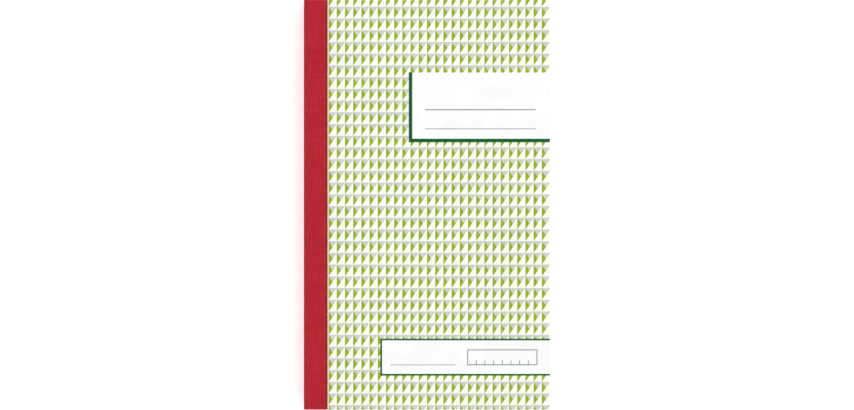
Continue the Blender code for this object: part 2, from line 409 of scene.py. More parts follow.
def blank_sheet(name, paper):
    """The back of a carbonless sheet: no print, a faint coating mottle."""
    n = Net(name)
    flat = n.attribute("flat")
    cloud = n.noise(flat, 0.3, 4.0, 0.62)
    fibre = n.noise(n.stretch(flat, (1.0, 0.3, 1.0)), 5.0, 3.0, 0.6)
    low = tuple(c * 0.93 for c in paper)
    n.set("Base Color", n.mix(n.span(cloud, 0.32, 0.68), low, paper))
    n.set("Roughness", n.span(fibre, 0.3, 0.7, 0.76, 0.88))
    n.set("Specular IOR Level", 0.25)
    return n.material


def paper_edge(name, paper):
    """The trimmed edge of a sheet, a little darker where it is bruised."""
    n = Net(name)
    flat = n.attribute("flat")
    drag = n.noise(n.stretch(flat, (0.7, 0.7, 3.0)), 1.8, 3.0, 0.6)
    patch = n.noise(flat, 0.12, 2.0, 0.5)
    dark = tuple(c * 0.80 for c in paper)
    base = n.mix(n.span(drag, 0.3, 0.62), dark, paper)
    n.set("Base Color", n.mix(n.span(patch, 0.45, 0.75, 0.0, 0.35), base, dark))
    n.set("Roughness", n.span(drag, 0.3, 0.7, 0.82, 0.95))
    n.set("Specular IOR Level", 0.2)
    return n.material


WEAVE = 0.65  # thread spacing of the bookcloth
TAPE_R = 0.60
TAPE_LOW, TAPE_HIGH = (box_mm("spine_tape")[k][2] for k in (0, 1))
TAPE_WING = TAPE_EDGE_X - (SPINE_X + TAPE_R)
TAPE_WEB = TAPE_HIGH - TAPE_LOW - 2 * TAPE_R
TAPE_FLAT = 2 * TAPE_WING + math.pi * TAPE_R + TAPE_WEB  # width before folding
THREADS_S, THREADS_Y = round(TAPE_FLAT / WEAVE), round(BOOK_H / WEAVE)


def red_cloth():
    """Plain-woven starched bookcloth: threads over and under, each with its
    own shade, painted shade in the holes, painted light and a faint sheen on the thread backs."""
    n = Net("red_bookcloth")
    weave = n.attribute("weave")
    s, t, _ = n.xyz(weave)
    wander = n.noise(weave, 0.35, 2.0, 0.5)
    a = n.math("ADD", n.math("MULTIPLY", s, THREADS_S / TAPE_FLAT), n.span(wander, 0.2, 0.8, -0.06, 0.06))
    b = n.math("ADD", n.math("MULTIPLY", t, THREADS_Y / BOOK_H), n.span(wander, 0.2, 0.8, 0.06, -0.06))
    ia, ib = n.math("FLOOR", a), n.math("FLOOR", b)
    fa = n.math("SUBTRACT", n.math("FRACT", a), 0.5)
    fb = n.math("SUBTRACT", n.math("FRACT", b), 0.5)

    def rise(along, across):
        phase = n.math("ADD", n.math("SUBTRACT", along, 0.5), across)
        return n.math("COSINE", n.math("MULTIPLY", phase, math.pi))

    def crown(f):
        # a round thread, with a gap beside the next one
        out = n.math("SUBTRACT", 1.0, n.math("MULTIPLY", n.math("MULTIPLY", f, f), 4.55))
        return n.math("SQRT", n.math("MAXIMUM", out, 0.0))

    warp = n.math("ADD", n.math("MULTIPLY", rise(b, ia), 0.32), n.math("MULTIPLY", crown(fa), 0.85))
    weft = n.math("SUBTRACT", n.math("MULTIPLY", crown(fb), 0.85), n.math("MULTIPLY", rise(a, ib), 0.32))
    height = n.math("MAXIMUM", warp, weft)
    over = n.math("GREATER_THAN", warp, weft)

    slub_a = n.noise(n.join(n.math("MULTIPLY", ia, 7.31), n.math("MULTIPLY", t, 0.12), 0.0), 1.0, 2.0, 0.5)
    slub_b = n.noise(n.join(n.math("MULTIPLY", s, 0.12), n.math("MULTIPLY", ib, 7.31), 4.0), 1.0, 2.0, 0.5)
    shade = n.math(
        "ADD",
        n.math("MULTIPLY", over, slub_a),
        n.math("MULTIPLY", n.math("SUBTRACT", 1.0, over), slub_b),
    )
    lint = n.noise(weave, 9.0, 2.0, 0.6)
    # painted light and shade: lighter on the thread backs and darker in the holes, by the threads' height; the slub
    # shade and the lighter warp are the cloth's own tones
    painted_light_and_tone = n.math("ADD", n.span(height, 0.35, 1.15, 0.0, 0.64), n.span(shade, 0.28, 0.72, 0.0, 0.32))
    painted_light_and_tone = n.math("ADD", painted_light_and_tone, n.math("MULTIPLY", over, 0.08), clamp=True)
    colour = n.mix(painted_light_and_tone, lin(104, 15, 22), lin(200, 45, 57))
    colour = n.mix(n.span(lint, 0.55, 0.85, 0.0, 0.22), colour, lin(204, 62, 70))
    # stained by glue and pressure along the cut edges, and painted shade over the folds, where the cloth turns away
    # from the light
    rim = n.math("MINIMUM", s, n.math("SUBTRACT", TAPE_FLAT, s))
    fold = TAPE_WING + math.pi / 4 * TAPE_R
    # painted shade: the distance from the middle of each rounded fold
    from_shaded_fold = n.math("ABSOLUTE", n.math("SUBTRACT", rim, fold))
    edge_stain_and_fold_shade = n.math("MAXIMUM", n.span(rim, 0.25, 1.0, 0.42, 0.0), n.span(from_shaded_fold, 0.1, 0.7, 0.28, 0.0))
    colour = n.mix(edge_stain_and_fold_shade, colour, lin(96, 10, 18))
    n.set("Base Color", colour)
    n.set("Roughness", n.span(height, 0.35, 1.15, 0.92, 0.70))
    n.set("Specular IOR Level", 0.05)
    n.set("Sheen Weight", 0.02)
    n.set("Sheen Roughness", 0.5)
    n.set("Sheen Tint", (1.0, 0.55, 0.55, 1.0))
    fuzz = n.bump(lint, 0.00002, 0.5)
    n.set("Normal", n.bump(height, 0.00005, 0.7, fuzz))
    return n.material


def cloth_under():
    """The glued inner side and the cut edge of the tape."""
    n = Net("bookcloth_cut")
    weave = n.attribute("weave")
    thread = n.noise(weave, 2.0, 3.0, 0.6)
    n.set("Base Color", n.mix(n.span(thread, 0.3, 0.7), lin(120, 24, 32), lin(186, 60, 66)))
    n.set("Roughness", n.span(thread, 0.3, 0.7, 0.85, 0.95))
    n.set("Specular IOR Level", 0.2)
    n.set("Normal", n.bump(thread, 0.00004, 0.6))
    return n.material


def wire_metal():
    n = Net("drawn_wire")
    at = n.place()
    drawn = n.noise(n.stretch(at, (9.0, 0.6, 0.6)), 1.5, 2.0, 0.5)
    n.set("Base Color", n.mix(drawn, (0.46, 0.46, 0.47), (0.68, 0.68, 0.69)))
    n.set("Metallic", 1.0)
    n.set("Roughness", n.span(drawn, 0.3, 0.7, 0.25, 0.42))
    n.set("Normal", n.bump(drawn, 0.00001, 0.4))
    return n.material


def padding_glue():
    n = Net("dried_glue")
    at = n.place()
    runs = n.noise(n.stretch(at, (1.0, 0.15, 1.0)), 1.2, 3.0, 0.6)
    n.set("Base Color", n.mix(n.span(runs, 0.3, 0.7), (0.66, 0.62, 0.52), (0.83, 0.80, 0.72)))
    n.set("Roughness", n.span(runs, 0.3, 0.7, 0.28, 0.5))
    n.set("Normal", n.bump(runs, 0.00005, 0.5))
    return n.material


def number_ink():
    n = Net("number_ink")
    flat = n.attribute("flat")
    wear = n.noise(flat, 6.0, 2.0, 0.6)
    n.set("Base Color", n.mix(n.span(wear, 0.3, 0.8), lin(176, 30, 40), lin(206, 74, 80)))
    n.set("Roughness", n.span(wear, 0.3, 0.7, 0.55, 0.7))
    n.set("Specular IOR Level", 0.25)
    return n.material


PAPER = {
    "white": (0.86, 0.865, 0.86),
    "yellow": lin(252, 236, 150),
    "pink": lin(248, 196, 203),
}
FORM_INK = {"white": lin(30, 112, 78), "yellow": lin(64, 104, 66), "pink": lin(92, 84, 96)}
FORM_TINT = {"white": lin(214, 232, 220), "yellow": lin(236, 220, 120), "pink": lin(238, 172, 184)}
FORM = {c: form_sheet(f"{c}_form", PAPER[c], FORM_INK[c], FORM_TINT[c]) for c in PAPER}
BLANK = {c: blank_sheet(f"{c}_back", PAPER[c]) for c in PAPER}
PALER = {c: tuple(0.65 * v + 0.35 * w for v, w in zip(PAPER[c], PAPER["white"])) for c in PAPER}
EDGE = {c: paper_edge(f"{c}_edge", PALER[c]) for c in PAPER}
COVER_PRINT = cover_print()
COVER_INNER = plain_card("cover_inner", (0.76, 0.75, 0.71), (0.42, 0.38, 0.32), 1.0, specks=0.07)
COVER_EDGE = cut_edge("cover_edge", (0.84, 0.83, 0.80), (0.64, 0.62, 0.57))
BOARD = plain_card("recycled_board", (0.40, 0.39, 0.36), (0.14, 0.13, 0.12), 1.1, specks=0.16)
BOARD_RIGID = plain_card("recycled_board_strip", (0.40, 0.39, 0.36), (0.14, 0.13, 0.12), 1.1, rigid=True, specks=0.16)
BOARD_EDGE = cut_edge("board_edge", (0.42, 0.41, 0.38), (0.24, 0.23, 0.21), 6.0)
CARD = plain_card("writing_card_buff", (0.64, 0.50, 0.31), (0.30, 0.19, 0.10), 1.3, specks=0.12)
CARD_EDGE = cut_edge("writing_card_edge", (0.62, 0.49, 0.31), (0.40, 0.30, 0.18))
CLOTH, CLOTH_CUT = red_cloth(), cloth_under()
WIRE, GLUE, NUMBER = wire_metal(), padding_glue(), number_ink()


# ------------------------------------------------------------------ sheet meshes
def lines(low, high, step, extra=(), tiny=0.004):
    """Sorted grid lines from low to high, about step apart, with extra lines."""
    count = max(1, int(round((high - low) / step)))
    found = sorted({*np.linspace(low, high, count + 1), *[e for e in extra if low < e < high]})
    kept = [found[0]]
    fixed = set(extra) | {low, high}
    for v in found[1:]:
        if v - kept[-1] > tiny:
            kept.append(v)
        elif v in fixed and kept[-1] not in fixed:
            kept[-1] = v
    return np.array(kept)


class Layout:
    """Where a sheet's sides lie on its texture map: the top, the under side,
    four strips for the cut edges and a patch for small print."""

    def __init__(self, top=(0.006, 0.008, 0.984), under=(0.605, 0.008, 0.640), strips=(0.605, 0.99, 0.672), patch=(0.605, 0.86, 0.38), rows=0.0245):
        self.top, self.under, self.strips, self.patch, self.rows = top, under, strips, patch, rows

    @staticmethod
    def face(at, xy):
        u, v, tall = at
        scale = tall / BOOK_H
        return np.stack([u + (xy[..., 0] - SPINE_X) * scale, v + (xy[..., 1] + HALF_H) * scale], -1)

    def strip(self, row, share, upper):
        u0, u1, v = self.strips
        return np.stack([u0 + (u1 - u0) * share, v + 0.042 * row + 0.028 * upper], -1)


SHEET_MAP = Layout()


def grid_sheet(xs, ys, keep, top, low, layout=SHEET_MAP):
    """A sheet as one closed solid over the kept cells of a grid. Returns its
    vertices, faces, each face's side (0 top, 1 under side, 2 edge) and its map."""
    nx, ny = len(xs), len(ys)
    gx, gy = np.meshgrid(xs, ys, indexing="ij")
    upper = np.stack([gx, gy, top(gx, gy)], -1).reshape(-1, 3)
    under = np.stack([gx, gy, low(gx, gy)], -1).reshape(-1, 3)
    verts = np.concatenate([upper, under])
    index = np.arange(nx * ny).reshape(nx, ny)
    shift = nx * ny
    i, j = np.nonzero(keep)
    a, b, c, d = index[i, j], index[i + 1, j], index[i + 1, j + 1], index[i, j + 1]
    faces = [np.stack([a, b, c, d], 1), np.stack([a, d, c, b], 1) + shift]
    sides = [np.zeros(len(i), int), np.ones(len(i), int)]
    maps = [layout.face(layout.top, verts[faces[0]]), layout.face(layout.under, verts[faces[1]])]
    padded = np.zeros((nx + 1, ny + 1), bool)
    padded[1:-1, 1:-1] = keep
    walls = ((-1, 0, d, a), (1, 0, b, c), (0, -1, a, b), (0, 1, c, d))
    for row, (di, dj, p, q) in enumerate(walls):
        open_side = ~padded[i + 1 + di, j + 1 + dj]
        p, q = p[open_side], q[open_side]
        wall = np.stack([q, p, p + shift, q + shift], 1)
        along = verts[wall][..., 1 if di else 0]
        share = (along + HALF_H) / BOOK_H if di else (along - SPINE_X) / BOOK_W
        faces.append(wall)
        sides.append(np.full(len(p), 2))
        maps.append(layout.strip(row, share, (wall < shift).astype(float)))
    faces, sides, maps = np.concatenate(faces), np.concatenate(sides), np.concatenate(maps)
    used, faces = np.unique(faces, return_inverse=True)
    return verts[used], faces.reshape(-1, 4), sides, maps


def rounded(values, low, high, r):
    """How far a surface falls at distance 0..r inside an edge, for a soft arris."""
    d = np.minimum(values - low, high - values)
    d = np.clip(d, 0.0, r)
    return r - np.sqrt(np.maximum(0.0, r * r - (r - d) ** 2))


def edge_lines(low, high, r):
    steps = [r * f for f in (0.12, 0.35, 0.65, 1.0)]
    return [low + s for s in steps] + [high - s for s in steps]


def make_piece(name, parts, materials, smooth=35.0):
    """One object from (vertices in mm, faces, material indices, map) parts,
    with its rest coordinates kept for the materials."""
    verts, faces, slots, maps, base = [], [], [], [], 0
    for v, f, m, uv in parts:
        verts.append(np.asarray(v, float))
        faces += [tuple(int(k) + base for k in face) for face in f]
        slots += [int(k) for k in m]
        maps.append(np.asarray(uv, float).reshape(-1, 2))
        base += len(v)
    verts, maps = np.concatenate(verts), np.concatenate(maps)
    mesh = bpy.data.meshes.new(name)
    mesh.from_pydata([tuple(p) for p in verts * MM], [], faces)
    mesh.polygons.foreach_set("material_index", slots)
    for m in materials:
        mesh.materials.append(m)
    mesh.uv_layers.new(name="OFBake", do_init=False).uv.foreach_set("vector", maps.astype(np.float32).ravel())
    rest = mesh.attributes.new("flat", "FLOAT_VECTOR", "POINT")
    rest.data.foreach_set("vector", verts.astype(np.float32).ravel())
    mesh.update()
    mesh.shade_smooth()
    mesh.set_sharp_from_angle(angle=math.radians(smooth))
    o = bpy.data.objects.new(name, mesh)
    scene.collection.objects.link(o)
    return o


def no_holes(xs, ys):
    return np.ones((len(xs) - 1, len(ys) - 1), bool)


def middles(v):
    return (v[1:] + v[:-1]) / 2


LEG_YS = [s * STITCH_Y + t * STITCH_SPAN / 2 for s in (1, -1) for t in (1, -1)]
LEG_X_LINES = [STITCH_X - 0.5, STITCH_X + 0.5]
LEG_Y_LINES = [y + d for y in LEG_YS for d in (-0.5, 0.5)]


def cut_leg_holes(keep, xs, ys):
    mx, my = middles(xs), middles(ys)
    in_x = np.abs(mx - STITCH_X) < 0.5
    in_y = np.min(np.abs(my[:, None] - np.array(LEG_YS)[None, :]), axis=1) < 0.5
    keep[np.ix_(in_x, in_y)] = False
    return keep


# ------------------------------------------------------------------ front cover
strip_low, strip_high = box_mm("front_cover_binding_strip")
panel_low, panel_high = box_mm("front_cover_panel")
CREASE = (-42.55, -41.45)


def front_cover():
    r = 0.10
    x0, x1 = strip_low[0], panel_high[0]
    slot_x = [STITCH_X - 0.45, STITCH_X + 0.45]
    slot_y = [s * STITCH_Y + t * 6.5 for s in (1, -1) for t in (1, -1)]
    xs = lines(x0, x1, 5.0, [*slot_x, *np.linspace(*CREASE, 13), *edge_lines(x0, x1, r)])
    ys = lines(-HALF_H, HALF_H, 5.0, [*slot_y, *edge_lines(-HALF_H, HALF_H, r)])
    keep = no_holes(xs, ys)
    mx, my = middles(xs), middles(ys)
    in_slot = (np.abs(np.abs(my) - STITCH_Y) < 6.5)[None, :] & (np.abs(mx - STITCH_X) < 0.45)[:, None]
    keep[in_slot] = False

    def lift(x, y):
        # the free side of the card stands a hair off the pad, more at the head
        t = np.clip((x - CREASE[1]) / (x1 - CREASE[1]), 0, 1)
        return t * t * (0.10 + 0.05 * np.sin(y / 31.0 + 0.6) + 0.04 * (y / HALF_H))

    def fall(x, y):
        return np.maximum(rounded(x, x0 - 1, x1, r), rounded(y, -HALF_H, HALF_H, r))

    sheet = grid_sheet(
        xs,
        ys,
        keep,
        lambda x, y: panel_high[2] + lift(x, y) - 0.55 * fall(x, y),
        lambda x, y: panel_low[2] + lift(x, y) + 0.35 * fall(x, y),
    )
    o = make_piece("front_cover", [sheet], [COVER_PRINT, COVER_INNER, COVER_EDGE])
    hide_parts("front_cover_panel", "front_cover_binding_strip")
    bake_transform(o, "bound_pad", "front_cover", (CREASE[0] * MM, 0, 0.0129), (CREASE[1] * MM, 0, 0.0129))
    return o


front_cover()


# ------------------------------------------------------------------ sheets of the top sets
CUT, TIE = 1.35, 0.65  # perforation: cut length and paper left between cuts
SLIT = 0.16
BEND = (PERF_X + 0.1, PERF_X + 34.0)
BEND_LINES = [BEND[0] + (BEND[1] - BEND[0]) * (k / 22) ** 1.6 for k in range(1, 23)]


def ease_turn(o):
    """A leaf turns mostly close to its perforation, and ever less further out."""
    mesh = o.data
    weights = mesh.attributes.get("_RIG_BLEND")
    if weights is None:
        return  # the leaf then keeps the blend's own smooth ramp
    at = np.zeros(3 * len(mesh.vertices), np.float32)
    mesh.vertices.foreach_get("co", at)
    t = np.clip((at[::3] / MM - BEND[0]) / (BEND[1] - BEND[0]), 0.0, 1.0)
    weights.data.foreach_set("value", (1.0 - (1.0 - t) ** 4).astype(np.float32))


def slit_lines(low, high):
    out, y = [], low + 0.4
    while y + CUT < high - 0.3:
        out.append((y, y + CUT))
        y += CUT + TIE
    return out


def number_parts(text, right, head, z, slot, layout):
    """Raised ink digits, as closed solids, right-aligned on a form."""
    curve = bpy.data.curves.new("digits", "FONT")
    curve.body = text
    curve.size = 5.6
    curve.extrude = 0.002
    curve.resolution_u = 3
    curve.space_character = 1.08
    curve.align_x = "RIGHT"
    curve.align_y = "CENTER"
    o = bpy.data.objects.new("digits", curve)
    scene.collection.objects.link(o)
    bpy.context.view_layer.update()
    mesh = bpy.data.meshes.new_from_object(o.evaluated_get(bpy.context.evaluated_depsgraph_get()))
    solid = bmesh.new()
    solid.from_mesh(mesh)
    bmesh.ops.remove_doubles(solid, verts=solid.verts, dist=0.0005)
    for sliver in [f for f in solid.faces if f.calc_area() < 1e-7]:
        bmesh.utils.edge_rotate(max(sliver.edges, key=lambda e: e.calc_length()))
    bmesh.ops.recalc_face_normals(solid, faces=solid.faces)
    solid.verts.index_update()
    v = np.array([p.co for p in solid.verts], float).reshape(-1, 3)
    f = [tuple(p.index for p in face.verts) for face in solid.faces]
    solid.free()
    bpy.data.objects.remove(o)
    bpy.data.curves.remove(curve)
    bpy.data.meshes.remove(mesh)
    u0, v0, wide = layout.patch
    scale = wide / 20.0
    uv = [(u0 + (v[k, 0] + 20.0) * scale, v0 + (v[k, 1] + 3.0) * scale + (v[k, 2] > 0) * 0.002) for face in f for k in face]
    v = v + np.array([right, head, z + 0.0035])
    return v, f, np.full(len(f), slot), uv


def perforated(xs, ys, coarse, slit, keep, z0, z1, layout):
    """A flat sheet as one closed solid over the kept cells of a grid. Only the
    column of the perforation is split at every line; elsewhere the cells run
    from one coarse line to the next."""
    rows = np.nonzero(coarse)[0]
    rings = []  # outlines of the cells as (i, j), anticlockwise from above
    for i in range(len(xs) - 1):
        marks = range(len(ys)) if i == slit else rows
        for j0, j1 in zip(marks, marks[1:]):
            if keep[i, j0]:
                right = range(j0, j1 + 1) if i + 1 in (slit, slit + 1) else (j0, j1)
                left = range(j0, j1 + 1) if i in (slit, slit + 1) else (j0, j1)
                rings.append([(i + 1, j) for j in right] + [(i, j) for j in reversed(left)])
    points = sorted({p for ring in rings for p in ring})
    number = {p: k for k, p in enumerate(points)}
    flat = np.array([(xs[i], ys[j]) for i, j in points])
    shift = len(points)
    verts = np.concatenate([np.c_[flat, np.full(shift, z1)], np.c_[flat, np.full(shift, z0)]])
    faces, sides, maps = [], [], []
    for ring in rings:
        top = [number[p] for p in ring]
        faces += [tuple(top), tuple(k + shift for k in reversed(top))]
        sides += [0, 1]
        maps += [*layout.face(layout.top, flat[top]), *layout.face(layout.under, flat[top[::-1]])]
    steps = {(p, q) for ring in rings for p, q in zip(ring, ring[1:] + ring[:1])}
    for p, q in sorted(steps):
        if (q, p) in steps:
            continue
        a, b = number[p], number[q]
        if p[0] == q[0]:
            row, share = int(q[1] > p[1]), (flat[[a, b], 1] + HALF_H) / BOOK_H
        else:
            row, share = 2 + int(q[0] < p[0]), (flat[[a, b], 0] - SPINE_X) / BOOK_W
        faces.append((a + shift, b + shift, b, a))
        sides.append(2)
        maps += [*layout.strip(row, share[[0, 1, 1, 0]], np.array([0.0, 0.0, 1.0, 1.0]))]
    return verts, faces, sides, maps


def bound_sheet(xs_extra, x0, x1, half_h, z0, z1, layout=SHEET_MAP, step=13.0):
    slits = slit_lines(-half_h, half_h)
    xs = lines(x0, x1, step, [*LEG_X_LINES, *xs_extra, PERF_X - SLIT / 2, PERF_X + SLIT / 2])
    broad = lines(-half_h, half_h, 8.0, LEG_Y_LINES)
    ys = lines(-half_h, half_h, 8.0, [*LEG_Y_LINES, *[e for s in slits for e in s]])
    coarse = np.min(np.abs(ys[:, None] - broad[None, :]), axis=1) < 1e-9
    keep = cut_leg_holes(no_holes(xs, ys), xs, ys)
    mx, my = middles(xs), middles(ys)
    slit = int(np.argmin(np.abs(mx - PERF_X)))
    for a, b in slits:
        keep[slit, (my > a) & (my < b)] = False
    return perforated(xs, ys, coarse, slit, keep, z0, z1, layout)


for number in range(1, 6):
    stub_low, stub_high = box_mm(f"set_{number:02d}_stub")
    for copy in ("white", "yellow", "pink"):
        body = f"set_{number:02d}_{copy}"
        node = f"{body}_leaf"
        low, high = box_mm(node)
        inset = 0.05 * rng.random()
        sheet = bound_sheet(
            BEND_LINES,
            stub_low[0],
            high[0] - inset,
            high[1] - 0.05 * rng.random(),
            low[2],
            high[2],
        )
        digits = number_parts(f"{number:04d}", 44.0, 74.85, high[2], 3, SHEET_MAP)
        o = make_piece(f"{body}_sheet", [sheet, digits], [FORM[copy], BLANK[copy], EDGE[copy], NUMBER])
        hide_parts(node, f"set_{number:02d}_stub")
        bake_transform(o, "bound_pad", body, (BEND[0] * MM, 0, low[2] * MM), (BEND[1] * MM, 0, low[2] * MM))
        ease_turn(o)


# ------------------------------------------------------------------ the other sets, as trimmed stacks
STACK_MAP = Layout(top=(0.010, 0.40, 0.585), under=(0.37, 0.40, 0.585), strips=(0.74, 0.99, 0.42), patch=(0.74, 0.62, 0.24))
# the topmost stack shares its map with the numbered sheet on it
NUMBERED_MAP = Layout(top=(0.010, 0.205, 0.78), under=(0.50, 0.205, 0.33), strips=(0.72, 0.99, 0.22), patch=(0.74, 0.62, 0.24))
COVERED_MAP = Layout(top=(0.74, 0.72, 0.20), under=(0.87, 0.72, 0.20), rows=0.0125)
COPIES = ("white", "yellow", "pink")


def stack(x0, x1, half_h, sheets, layout=STACK_MAP):
    """A stack of sheets as one closed solid: sheets is [(low, high, copy)] from
    the bottom up. Each sheet's cut edge stands a hair in or out of the next,
    with a groove between them, and the stitch legs pass through."""
    xs = lines(x0, x1, 14.0, LEG_X_LINES)
    ys = lines(-half_h, half_h, 14.0, LEG_Y_LINES)
    nx, ny = len(xs), len(ys)
    rim = (
        [(i, 0) for i in range(nx - 1)]
        + [(nx - 1, j) for j in range(ny - 1)]
        + [(i, ny - 1) for i in range(nx - 1, 0, -1)]
        + [(0, j) for j in range(ny - 1, 0, -1)]
    )
    corner = np.array([(xs[i], ys[j]) for i, j in rim])
    inward = np.array([((i == 0) * 1.0 - (i == nx - 1), (j == 0) * 1.0 - (j == ny - 1)) for i, j in rim])
    inward[:, 0] *= np.array([1.0 if i == nx - 1 else 0.15 for i, _ in rim])
    length = np.r_[0.0, np.cumsum(np.linalg.norm(np.roll(corner, -1, 0) - corner, axis=1))]
    share = length / length[-1]
    count = len(rim)

    rings, kinds = [], []
    for k, (z0, z1, copy) in enumerate(sheets):
        deep = 0.075 * rng.random() ** 2
        wave = np.array([0.012 * rng.random() for _ in rim])
        place = corner + inward * (deep + wave)[:, None]
        if k:
            z_mid = (sheets[k - 1][1] + z0) / 2
            rings.append((corner + inward * (deep + wave + 0.045)[:, None], z_mid))
            kinds.append((copy, k))
        rings += [(place, z0), (place, z1)]
        kinds += [(copy, k), (copy, k)]
    verts = [(*p, z) for place, z in rings for p in place]
    faces, slots, maps = [], [], []

    def across(r):
        z0, z1, _ = sheets[kinds[r][1]]
        return min(1.0, max(0.0, (rings[r][1] - z0) / (z1 - z0)))

    for r in range(len(rings) - 1):
        copy, k = kinds[r]
        v0, tall = 0.012 + layout.rows * k, 0.775 * layout.rows
        low_v = v0 + tall * across(r)
        high_v = v0 + (tall * across(r + 1) if kinds[r + 1][1] == k else tall)
        for c in range(count):
            d = (c + 1) % count
            faces.append((r * count + c, r * count + d, (r + 1) * count + d, (r + 1) * count + c))
            slots.append(3 * COPIES.index(copy) + 2)
            u0, u1 = 0.01 + 0.98 * share[c], 0.01 + 0.98 * share[c + 1]
            maps += [(u0, low_v), (u1, low_v), (u1, high_v), (u0, high_v)]

    # the top and the under side, with the stitch holes through both
    keep = cut_leg_holes(no_holes(xs, ys), xs, ys)
    ends = {}
    for level, ring in ((0, 0), (1, len(rings) - 1)):
        z = rings[ring][1]
        on_rim = {ij: ring * count + c for c, ij in enumerate(rim)}
        for i in range(nx):
            for j in range(ny):
                ends[level, i, j] = on_rim.get((i, j))
                if ends[level, i, j] is None:
                    ends[level, i, j] = len(verts)
                    verts.append((xs[i], ys[j], z))
    for i, j in zip(*np.nonzero(keep)):
        for level, quad in (
            (0, ((i, j), (i, j + 1), (i + 1, j + 1), (i + 1, j))),
            (1, ((i, j), (i + 1, j), (i + 1, j + 1), (i, j + 1))),
        ):
            face = [ends[level, p, q] for p, q in quad]
            faces.append(tuple(face))
            copy = sheets[-1 if level else 0][2]
            slots.append(3 * COPIES.index(copy) + (0 if level else 1))
            at = layout.top if level else layout.under
            maps += [tuple(p) for p in layout.face(at, np.array([verts[k][:2] for k in face]))]
    for i, j in zip(*np.nonzero(~keep)):
        quad = ((i, j), (i + 1, j), (i + 1, j + 1), (i, j + 1))
        for (p, q), (p2, q2) in zip(quad, quad[1:] + quad[:1]):
            faces.append((ends[0, p2, q2], ends[0, p, q], ends[1, p, q], ends[1, p2, q2]))
            slots.append(2)
            maps += [(0.75, 0.95), (0.77, 0.95), (0.77, 0.97), (0.75, 0.97)]
    return np.array(verts), faces, slots, maps


for first in range(6, 51, 5):
    node = f"sets_{first:02d}_to_{first + 4:02d}"
    low, high = box_mm(node)
    pitch = (high[2] - low[2] + 0.014) / 15
    levels = [(high[2] - k * pitch - (pitch - 0.014), high[2] - k * pitch, COPIES[k % 3]) for k in range(15)]
    parts, under_map = [], STACK_MAP
    if first == 6:  # the sheet that shows when the leaves above are turned
        under_map = COVERED_MAP
        z0, z1, _ = levels.pop(0)
        parts.append(bound_sheet([], low[0], high[0], high[1], z0, z1, NUMBERED_MAP, step=60.0))
        parts.append(number_parts("0006", 44.0, 74.85, z1, 9, NUMBERED_MAP))
    parts.append(stack(low[0], high[0], high[1], levels[::-1], under_map))
    materials = [s[c] for c in COPIES for s in (FORM, BLANK, EDGE)]
    o = make_piece(f"{node}_sheets", parts, [*materials, NUMBER])
    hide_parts(node)
    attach(o, "bound_pad")


# ------------------------------------------------------------------ writing card
def writing_card():
    low, high = box_mm("writing_card")
    r = 0.08
    xs = lines(low[0], high[0], 8.0, edge_lines(low[0], high[0], r))
    ys = lines(low[1], high[1], 8.0, edge_lines(low[1], high[1], r))

    def fall(x, y):
        return np.maximum(rounded(x, low[0], high[0], r), rounded(y, low[1], high[1], r))

    sheet = grid_sheet(
        xs,
        ys,
        no_holes(xs, ys),
        lambda x, y: high[2] - 0.5 * fall(x, y),
        lambda x, y: low[2] + 0.5 * fall(x, y),
    )
    o = make_piece("writing_card_buff", [sheet], [CARD, CARD, CARD_EDGE])
    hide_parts("writing_card")
    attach(o, "writing_card")


writing_card()


# ------------------------------------------------------------------ back board
def back_board():
    low, high = box_mm("back_cover_panel")
    bound_low, bound_high = box_mm("back_cover_binding_strip")
    x0, x1, r = bound_high[0] + 0.01, high[0], 0.16
    fold = (-42.50, -41.42)
    xs = lines(x0, x1, 6.0, [*np.linspace(*fold, 13), *edge_lines(x0, x1, r)])
    ys = lines(low[1], high[1], 6.0, edge_lines(low[1], high[1], r))

    def level(x):
        # the bound strip is pressed up against the pad, the panel lies lower
        t = np.clip((x - fold[0]) / (fold[1] - fold[0]), 0, 1)
        return (bound_low[2] - low[2]) * (1 - t * t * (3 - 2 * t))

    def fall(x, y):
        return np.maximum(rounded(x, x0 - 1, x1, r), rounded(y, low[1], high[1], r))

    sheet = grid_sheet(
        xs,
        ys,
        no_holes(xs, ys),
        lambda x, y: high[2] + level(x) - 0.6 * fall(x, y),
        lambda x, y: low[2] + level(x) + 0.6 * fall(x, y),
    )
    o = make_piece("back_cover_board", [sheet], [BOARD, BOARD, BOARD_EDGE])
    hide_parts("back_cover_panel")
    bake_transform(o, "bound_pad", "back_cover", (fold[0] * MM, 0, 0), (fold[1] * MM, 0, 0))


back_board()


